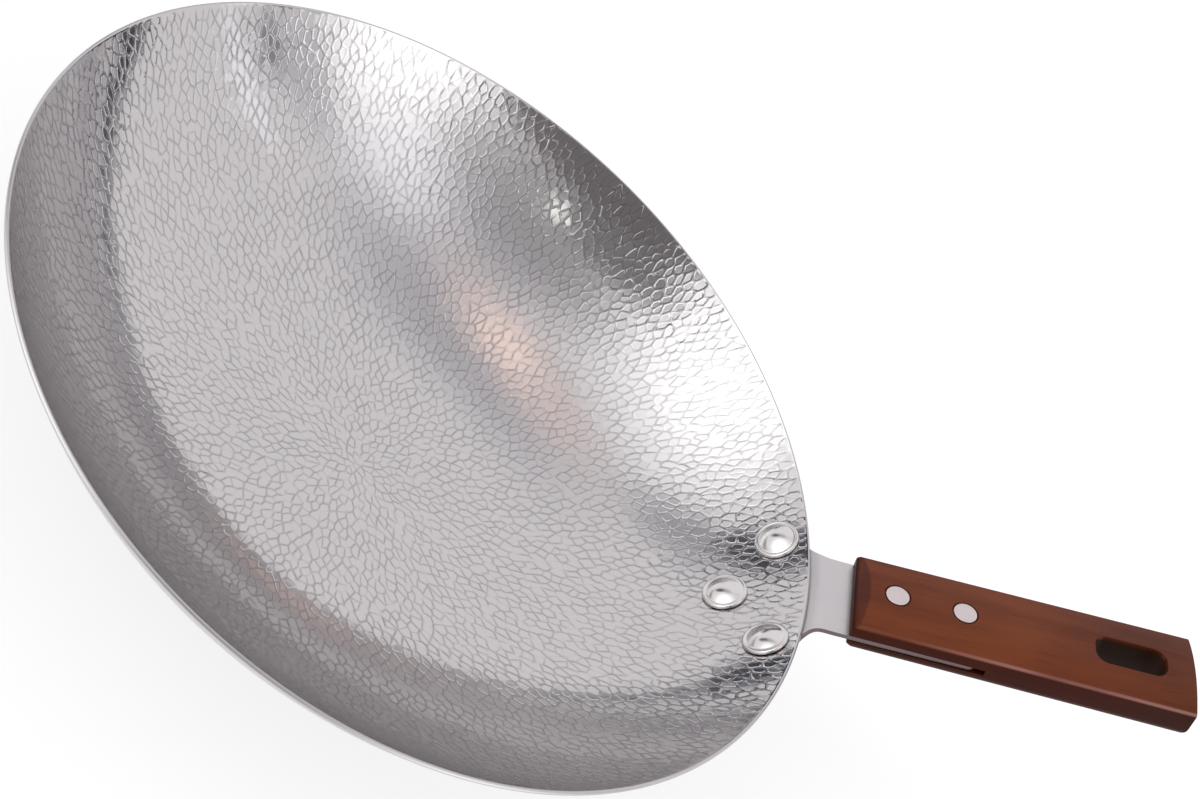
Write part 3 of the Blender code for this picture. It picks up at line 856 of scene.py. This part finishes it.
def make_wood():
    """A long crowned bar along the handle's own X, cut to the side outline, softened, sawn and bored."""
    handle = handle_frame()
    bar_length = WOOD_LENGTH + 2 * CUTTER_REACH
    middle_x = (WOOD_FRONT + WOOD_END) / 2
    wood = prism("varnished_handle", wood_section(), bar_length, handle)
    turn = Matrix(((0, 0, 1, middle_x), (1, 0, 0, 0), (0, 1, 0, 0), (0, 0, 0, 1)))
    wood.data.transform(turn)
    for vertex in wood.data.vertices:
        share = (vertex.co.x - WOOD_FRONT) / WOOD_LENGTH
        vertex.co.y *= 1 + (WOOD_WIDTH_END / WOOD_WIDTH_FRONT - 1) * share
    widest = WOOD_WIDTH_END + CUTTER_REACH
    side = prism("side_outline", wood_side_outline(), widest, handle @ Matrix.Rotation(math.pi / 2, 4, "X"))
    slot_place = handle @ Matrix.Translation((SLOT_MIDDLE, 0.0, (WOOD_ABOVE + WOOD_BOTTOM) / 2))
    slot_depth = WOOD_ABOVE - WOOD_BOTTOM + CUTTER_REACH
    slot = prism("slot", rounded_rectangle(SLOT_LENGTH, SLOT_WIDTH, SLOT_CORNER), slot_depth, slot_place)
    kerf_from, kerf_to = WOOD_FRONT - CUTTER_REACH, TANG_END + KERF_SPARE
    kerf_outline = [(kerf_from, -PLATE - GAP), (kerf_to, -PLATE - GAP), (kerf_to, GAP), (kerf_from, GAP)]
    kerf = prism("kerf", kerf_outline, widest, handle @ Matrix.Rotation(math.pi / 2, 4, "X"))
    bores = []
    for x in (FRONT_RIVET, REAR_RIVET):
        place = handle @ Matrix.Translation((x, 0.0, 0.0))
        bores.append(turned("counterbore", counterbore_profile(), place))
    cut(wood, [side], "INTERSECT")
    cut(wood, [slot])
    soften(wood, WOOD_EDGE, segments=4, limit=WOOD_BEVEL_FROM)
    cut(wood, [kerf, *bores])
    settle(wood)
    discard([side, slot, kerf, *bores])
    wood.data.transform(handle)
    wood.matrix_world = Matrix()
    wood.data.shade_smooth()
    wood.data.set_sharp_from_angle(angle=math.radians(WOOD_SHARP_TURN))
    return wood


def add(tree, kind, inputs=(), **settings):
    """A shader node with its settings, and its inputs by name or number as values or links."""
    made = tree.nodes.new("ShaderNode" + kind)
    for name, value in settings.items():
        setattr(made, name, value)
    for key, value in dict(inputs).items():
        if isinstance(value, bpy.types.NodeSocket):
            tree.links.new(value, made.inputs[key])
        else:
            made.inputs[key].default_value = value
    return made


def calc(tree, operation, first, second=0.0):
    return add(tree, "Math", {0: first, 1: second}, operation=operation).outputs[0]


def mix(tree, share, first, second, blend="MIX"):
    made = add(tree, "Mix", {0: share}, data_type="RGBA", blend_type=blend)
    for index, value in ((6, first), (7, second)):
        if isinstance(value, bpy.types.NodeSocket):
            tree.links.new(value, made.inputs[index])
        else:
            made.inputs[index].default_value = (*value, 1.0)
    return made.outputs[2]


def span(tree, value, low, high, to_low=0.0, to_high=1.0, smooth=False):
    kind = "SMOOTHSTEP" if smooth else "LINEAR"
    inputs = {"Value": value, "From Min": low, "From Max": high, "To Min": to_low, "To Max": to_high}
    return add(tree, "MapRange", inputs, interpolation_type=kind).outputs[0]


def noise(tree, coordinates, scale, stretch=(1.0, 1.0, 1.0), detail=2.0, roughness=0.5):
    """Noise of about this many metres a wave, drawn out along any axis."""
    fitted = add(tree, "Mapping", {"Vector": coordinates, "Scale": tuple(1 / (scale * x) for x in stretch)})
    inputs = {"Vector": fitted.outputs[0], "Scale": 1.0, "Detail": detail, "Roughness": roughness}
    return add(tree, "TexNoise", inputs).outputs[0]


def new_material(name):
    made = bpy.data.materials.new(name)
    made.use_nodes = True
    tree = made.node_tree
    shader = tree.nodes["Principled BSDF"]
    coordinates = add(tree, "TexCoord").outputs["Object"]
    return made, tree, shader, coordinates


def set_bump(tree, shader, height, distance):
    bump = add(tree, "Bump", {"Height": height, "Distance": distance, "Strength": 1.0})
    tree.links.new(bump.outputs[0], shader.inputs["Normal"])


def bowl_look():
    made, tree, shader, place = new_material("embossed_steel")
    level = add(tree, "VectorMath", {0: place, 1: (1.0, 1.0, 0.0)}, operation="MULTIPLY").outputs[0]
    radius = add(tree, "VectorMath", {0: level}, operation="LENGTH").outputs["Value"]
    outward = add(tree, "CombineXYZ", {"X": radius}).outputs[0]
    turning = noise(tree, outward, TURNING_PITCH, detail=4.0, roughness=0.7)
    groove = add(tree, "Attribute", attribute_name="groove").outputs["Fac"]
    inside = add(tree, "Attribute", attribute_name="inside").outputs["Fac"]
    cloud = noise(tree, place, BOWL_CLOUD, detail=3.0)
    grain = noise(tree, place, BOWL_GRAIN, detail=3.0)
    turned_steel = mix(tree, span(tree, turning, *MOST), *TURNED_STEEL)
    steel = mix(tree, inside, turned_steel, mix(tree, cloud, *BOWL_STEEL))
    # Painted shade: the steel is darkened in the grooves, as shade in the recesses, deeper grooves more
    groove_shade = span(tree, groove, 0.0, 1.0, 0.0, GROOVE_SHADE_SHARE, smooth=True)
    tree.links.new(mix(tree, groove_shade, steel, GROOVE_PAINTED_SHADE), shader.inputs["Base Color"])
    rough = span(tree, cloud, *MOST, *BOWL_ROUGHNESS)
    rough = calc(tree, "ADD", rough, calc(tree, "MULTIPLY", groove, GROOVE_ROUGHNESS))
    outside = calc(tree, "SUBTRACT", 1.0, inside)
    outside = calc(tree, "MULTIPLY", outside, span(tree, turning, *MOST, *TURNED_ROUGHNESS))
    tree.links.new(calc(tree, "ADD", rough, outside), shader.inputs["Roughness"])
    shader.inputs["Metallic"].default_value = 1.0
    set_bump(tree, shader, grain, BOWL_GRAIN_DEPTH)
    return made


def bracket_look():
    made, tree, shader, place = new_material("satin_steel")
    brushing = noise(tree, place, BRACKET_BRUSHING, BRACKET_BRUSHING_STRETCH, detail=3.0)
    steel = mix(tree, noise(tree, place, BRACKET_CLOUD), *BRACKET_STEEL)
    edge = add(tree, "Attribute", attribute_name="cut_edge").outputs["Fac"]
    # Painted shade: the cut edge is darkened all round, as shade where it lies in the wood's kerf
    tree.links.new(mix(tree, edge, steel, BRACKET_EDGE_PAINTED_SHADE), shader.inputs["Base Color"])
    tree.links.new(span(tree, brushing, *MOST, *BRACKET_ROUGHNESS), shader.inputs["Roughness"])
    shader.inputs["Metallic"].default_value = 1.0
    set_bump(tree, shader, brushing, BRACKET_BRUSHING_DEPTH)
    return made


def dome_look():
    made, tree, shader, place = new_material("polished_steel")
    cloud = noise(tree, place, DOME_CLOUD)
    tree.links.new(mix(tree, cloud, *DOME_STEEL), shader.inputs["Base Color"])
    tree.links.new(span(tree, cloud, *MOST, *DOME_ROUGHNESS), shader.inputs["Roughness"])
    shader.inputs["Metallic"].default_value = 1.0
    set_bump(tree, shader, noise(tree, place, DOME_DENTS), RIVET_BUMP_DEPTH)
    return made


def head_look():
    made, tree, shader, place = new_material("satin_rivet_steel")
    grain = noise(tree, place, HEAD_GRAIN, detail=3.0)
    tree.links.new(mix(tree, grain, *HEAD_STEEL), shader.inputs["Base Color"])
    tree.links.new(span(tree, grain, *MOST, *HEAD_ROUGHNESS), shader.inputs["Roughness"])
    shader.inputs["Metallic"].default_value = 1.0
    set_bump(tree, shader, grain, RIVET_BUMP_DEPTH)
    return made


def slot_share(tree, side):
    """1 on the walls of the hanging slot and 0 elsewhere, by place in the handle's own frame."""
    middles = (SLOT_MIDDLE, 0.0, (WOOD_ABOVE + WOOD_BOTTOM) / 2)
    halves = (SLOT_LENGTH / 2, SLOT_WIDTH / 2, (WOOD_ABOVE - WOOD_BOTTOM) / 2 - 2 * WOOD_EDGE)
    share = 1.0
    for axis, middle, half in zip("XYZ", middles, halves):
        away = calc(tree, "ABSOLUTE", calc(tree, "SUBTRACT", side[axis], middle))
        share = calc(tree, "MULTIPLY", share, span(tree, away, half, half + WOOD_EDGE, 1.0, 0.0))
    return share


def wood_look():
    made, tree, shader, place = new_material("red_brown_varnished_wood")
    turn = {"Vector": place, "Location": bend_apex(), "Rotation": (0.0, -HANDLE_TILT, 0.0)}
    place = add(tree, "Mapping", turn, vector_type="TEXTURE").outputs[0]
    figure = noise(tree, place, WOOD_FIGURE, WOOD_FIGURE_STRETCH, detail=3.0, roughness=0.55)
    pores = noise(tree, place, WOOD_PORE, WOOD_PORE_STRETCH, detail=2.0)
    blotch = noise(tree, place, WOOD_BLOTCH, WOOD_BLOTCH_STRETCH)
    wood = mix(tree, span(tree, figure, *MOST), *WOOD_TONES)
    blotched = span(tree, blotch, *WOOD_BLOTCH_BAND, 0.0, WOOD_BLOTCH_STRENGTH)
    porous = span(tree, pores, *WOOD_PORE_BAND, 0.0, WOOD_PORE_STRENGTH)
    wood = mix(tree, blotched, wood, WOOD_BLOTCH_TONE)
    wood = mix(tree, porous, wood, WOOD_PORE_TONE)

    # The front chamfer and the last stretch are darker; the flanks below the rounded top edge are darkened
    # with painted shade
    side = add(tree, "SeparateXYZ", {0: place}).outputs
    half = WOOD_WIDTH_FRONT / 2
    flank_top = crown_height(half - TOP_ROUND, half) - TOP_ROUND
    flank = span(tree, side["Z"], flank_top, flank_top + TOP_ROUND / 2, 1.0, 0.0)
    slant = calc(tree, "SUBTRACT", side["X"], side["Z"])
    chamfer_end = WOOD_FRONT + FRONT_CHAMFER - WOOD_ABOVE
    chamfer = span(tree, slant, chamfer_end, chamfer_end + CHAMFER_BLEND, 1.0, 0.0, smooth=True)
    rear = span(tree, side["X"], WOOD_END - REAR_SHADE_REACH, WOOD_END, smooth=True)
    for share, shade in ((chamfer, CHAMFER_SHADE), (flank, FLANK_PAINTED_SHADE), (rear, REAR_SHADE)):
        wood = mix(tree, share, wood, shade, "MULTIPLY")

    # A painted highlight lies on the rounded top edge in places, stronger towards the rear
    widening = span(tree, side["X"], WOOD_FRONT, WOOD_END, 1.0, WOOD_WIDTH_END / WOOD_WIDTH_FRONT)
    across = calc(tree, "DIVIDE", calc(tree, "ABSOLUTE", side["Y"]), widening)
    corner = calc(tree, "SUBTRACT", calc(tree, "ADD", across, side["Z"]), half - TOP_ROUND + flank_top)
    painted_highlight = calc(tree, "MULTIPLY", span(tree, corner, *EDGE_HIGHLIGHT_BAND), span(tree, blotch, *EDGE_HIGHLIGHT_BLOTCH))
    painted_highlight = calc(tree, "MULTIPLY", painted_highlight, span(tree, side["X"], *EDGE_HIGHLIGHT_RUN, FAINTEST_EDGE_HIGHLIGHT, 1.0))
    wood = mix(tree, calc(tree, "MULTIPLY", painted_highlight, EDGE_HIGHLIGHT_STRENGTH), wood, EDGE_HIGHLIGHT_TONE)

    in_slot = slot_share(tree, side)
    dull = calc(tree, "MAXIMUM", in_slot, calc(tree, "MULTIPLY", flank, FLANK_DULLNESS))
    # Painted shade: the slot's walls are coloured near black, as the shade inside it
    tree.links.new(mix(tree, in_slot, wood, SLOT_PAINTED_SHADE), shader.inputs["Base Color"])
    tree.links.new(span(tree, dull, 0.0, 1.0, VARNISH, 0.0), shader.inputs["Coat Weight"])
    shader.inputs["Specular IOR Level"].default_value = WOOD_SPECULAR
    shader.inputs["Roughness"].default_value = WOOD_ROUGHNESS
    shader.inputs["Coat Roughness"].default_value = VARNISH_ROUGHNESS
    set_bump(tree, shader, pores, WOOD_PORE_DEPTH)
    return made


def direction(azimuth, elevation):
    a, e = math.radians(azimuth), math.radians(elevation)
    return Vector((math.cos(e) * math.cos(a), math.cos(e) * math.sin(a), math.sin(e)))


def light_share(tree, view, light):
    """How much of one of the surroundings is seen in a direction: an ellipse with soft edges."""
    ahead = direction(light.azimuth, light.elevation)
    side = Vector((0, 0, 1)).cross(ahead).normalized()
    up = ahead.cross(side)
    turn = Matrix((side, up, ahead)).transposed().to_euler()
    size = (math.sin(math.radians(light.wide)), math.sin(math.radians(light.high)), 1.0)
    fitted = add(tree, "Mapping", {"Vector": view, "Rotation": turn, "Scale": size}, vector_type="TEXTURE")
    flat = add(tree, "VectorMath", {0: fitted.outputs[0], 1: (1.0, 1.0, 0.0)}, operation="MULTIPLY")
    distance = add(tree, "VectorMath", {0: flat.outputs[0]}, operation="LENGTH").outputs["Value"]
    share = span(tree, distance, 1 + light.soft, 1 - light.soft, smooth=True)
    depth = add(tree, "SeparateXYZ", {0: fitted.outputs[0]}).outputs["Z"]
    return calc(tree, "MULTIPLY", share, calc(tree, "GREATER_THAN", depth, 0.0))


def make_world():
    world = bpy.data.worlds.new("studio")
    bpy.context.scene.world = world
    world.use_nodes = True
    tree = world.node_tree
    tree.nodes.clear()
    view = add(tree, "TexCoord").outputs["Generated"]
    colour = BASE_LIGHT
    for light in SURROUNDINGS:
        colour = mix(tree, light_share(tree, view, light), colour, light.colour)
    colour = mix(tree, add(tree, "LightPath").outputs["Is Camera Ray"], colour, WHITE)
    background = add(tree, "Background", {"Color": colour, "Strength": 1.0})
    output = add(tree, "OutputWorld")
    tree.links.new(background.outputs[0], output.inputs["Surface"])


def make_floor():
    outline = rounded_rectangle(FLOOR_SIDE, FLOOR_SIDE, FLOOR_CORNER)
    place = Matrix.Translation((0.0, 0.0, -FLOOR_THICKNESS / 2))
    floor = prism("floor", outline, FLOOR_THICKNESS, place)
    made, tree, shader, _ = new_material("pale_floor")
    shader.inputs["Base Color"].default_value = (*FLOOR_COLOUR, 1.0)
    shader.inputs["Roughness"].default_value = 1.0
    shader.inputs["Specular IOR Level"].default_value = 0.0
    shader.inputs["Emission Color"].default_value = (*WHITE, 1.0)
    path = add(tree, "LightPath").outputs
    seen = calc(tree, "MAXIMUM", path["Is Camera Ray"], path["Is Glossy Ray"])
    tree.links.new(calc(tree, "MULTIPLY", seen, FLOOR_GLOW), shader.inputs["Emission Strength"])
    floor.data.materials.append(made)


def make_camera():
    data = bpy.data.cameras.new("camera")
    data.lens = LENS_MM
    data.sensor_width = SENSOR_MM
    data.clip_start = NEAREST_SEEN
    camera = bpy.data.objects.new("camera", data)
    bpy.context.scene.collection.objects.link(camera)
    ahead = CAMERA_AHEAD.normalized()
    up = CAMERA_RIGHT.cross(ahead).normalized()
    right = ahead.cross(up)
    turn = Matrix((right, up, -ahead)).transposed().to_4x4()
    camera.matrix_world = Matrix.Translation(CAMERA_PLACE + Vector((0, 0, LIP_HEIGHT))) @ turn
    bpy.context.scene.camera = camera


def make_rivets():
    places = {
        "far": (UPPER_RIVET_DROP, UPPER_RIVET_SPREAD),
        "near": (UPPER_RIVET_DROP, -UPPER_RIVET_SPREAD),
        "low": (LOWER_RIVET_DROP, 0.0),
    }
    look = dome_look()
    for name, (drop, across) in places.items():
        radius, _ = wall_point(drop)
        curvature = max(1 / WALL_RADIUS, math.sin(wall_slope(drop)) / radius)
        profile = dome_profile(GAP + DOME_RADIUS**2 * curvature / 2)
        rivet = turned(f"domed_rivet_{name}", profile, on_wall(drop, across))
        dress(rivet, f"bowl_rivet_{name}", look)
    look = head_look()
    for name, x in (("front", FRONT_RIVET), ("rear", REAR_RIVET)):
        place = handle_frame() @ Matrix.Translation((x, 0.0, 0.0))
        rivet = turned(f"flat_rivet_{name}", head_profile(), place)
        dress(rivet, f"handle_rivet_{name}", look)


def main():
    make_camera()
    make_world()
    make_floor()
    dress(make_bowl(), "wok_bowl", bowl_look())
    dress(make_bracket(), "handle_bracket", bracket_look())
    dress(make_wood(), "wooden_handle", wood_look())
    make_rivets()
    bpy.context.scene.view_settings.view_transform = "Standard"
    bpy.context.scene.cycles.glossy_bounces = MIRROR_BOUNCES


main()
